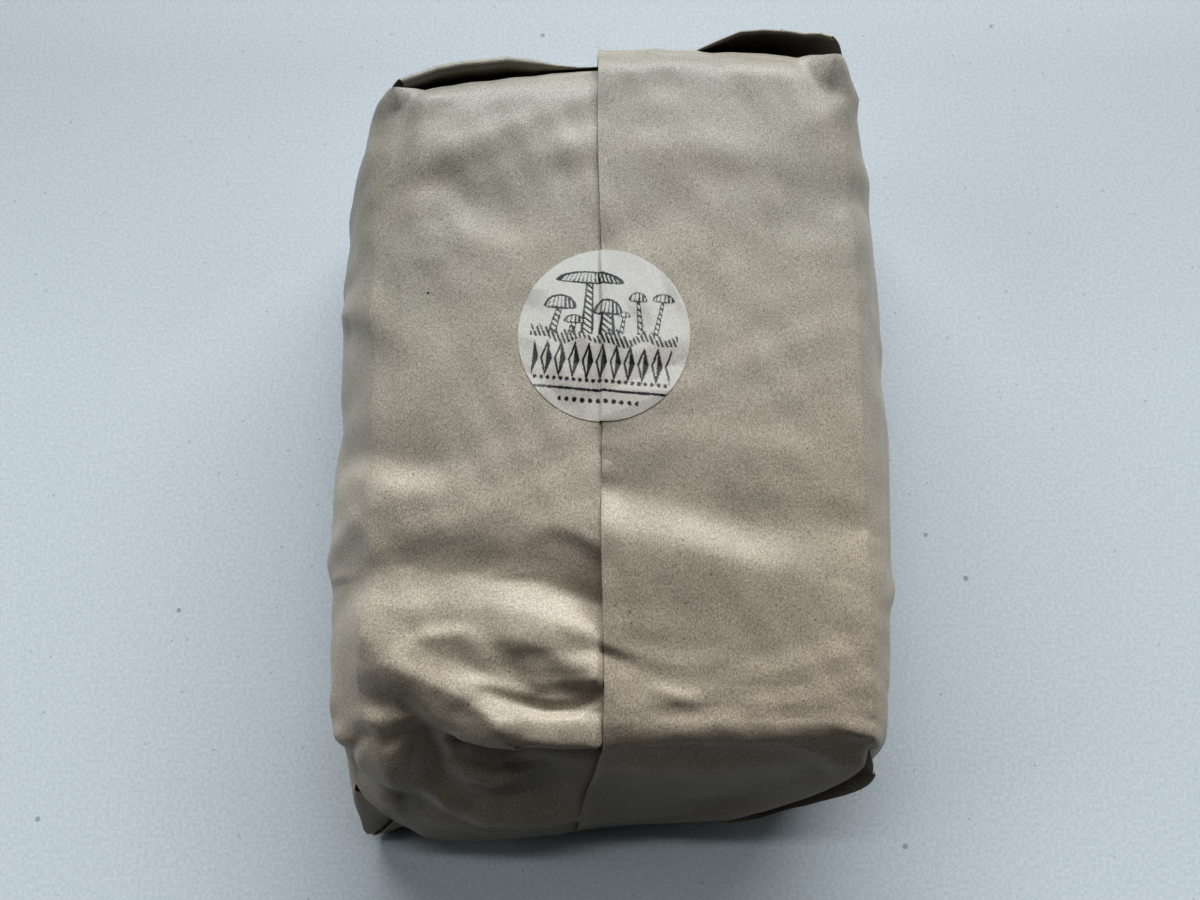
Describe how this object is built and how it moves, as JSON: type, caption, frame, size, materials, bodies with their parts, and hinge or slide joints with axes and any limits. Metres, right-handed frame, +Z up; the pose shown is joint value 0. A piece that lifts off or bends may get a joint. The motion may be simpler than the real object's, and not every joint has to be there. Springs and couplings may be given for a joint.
{
  "type": "paper-wrapped mushroom grow bag",
  "caption": "Mushroom grow bag wrapped in kraft paper, lying flat with its overlapped seam up and a round film label holding the seam shut.",
  "frame": {"origin": "centre of the bounding box's underside", "axes": "+Z up out of the seam side, +Y along the length towards the end that the bag's neck is at, +X across to the right as seen from above with +Y away"},
  "size_m": [0.2138, 0.2976, 0.0896],
  "materials": {
    "kraft_paper": "matt brown-grey kraft with short fibres and dark specks, softly creased",
    "label_film": null,
    "bag_film": "clear polypropylene film",
    "filter_membrane": "white matt non-woven membrane",
    "tape_film": "clear packing tape",
    "substrate": "sawdust bound by white mycelium"
  },
  "bodies": {
    "root": {"substrate_block": "substrate", "grow_bag": "bag_film", "filter_patch": "filter_membrane", "neck_tape": "tape_film", "kraft_wrap": "kraft_paper", "round_label": "label_film"}
  },
  "joints": []
}
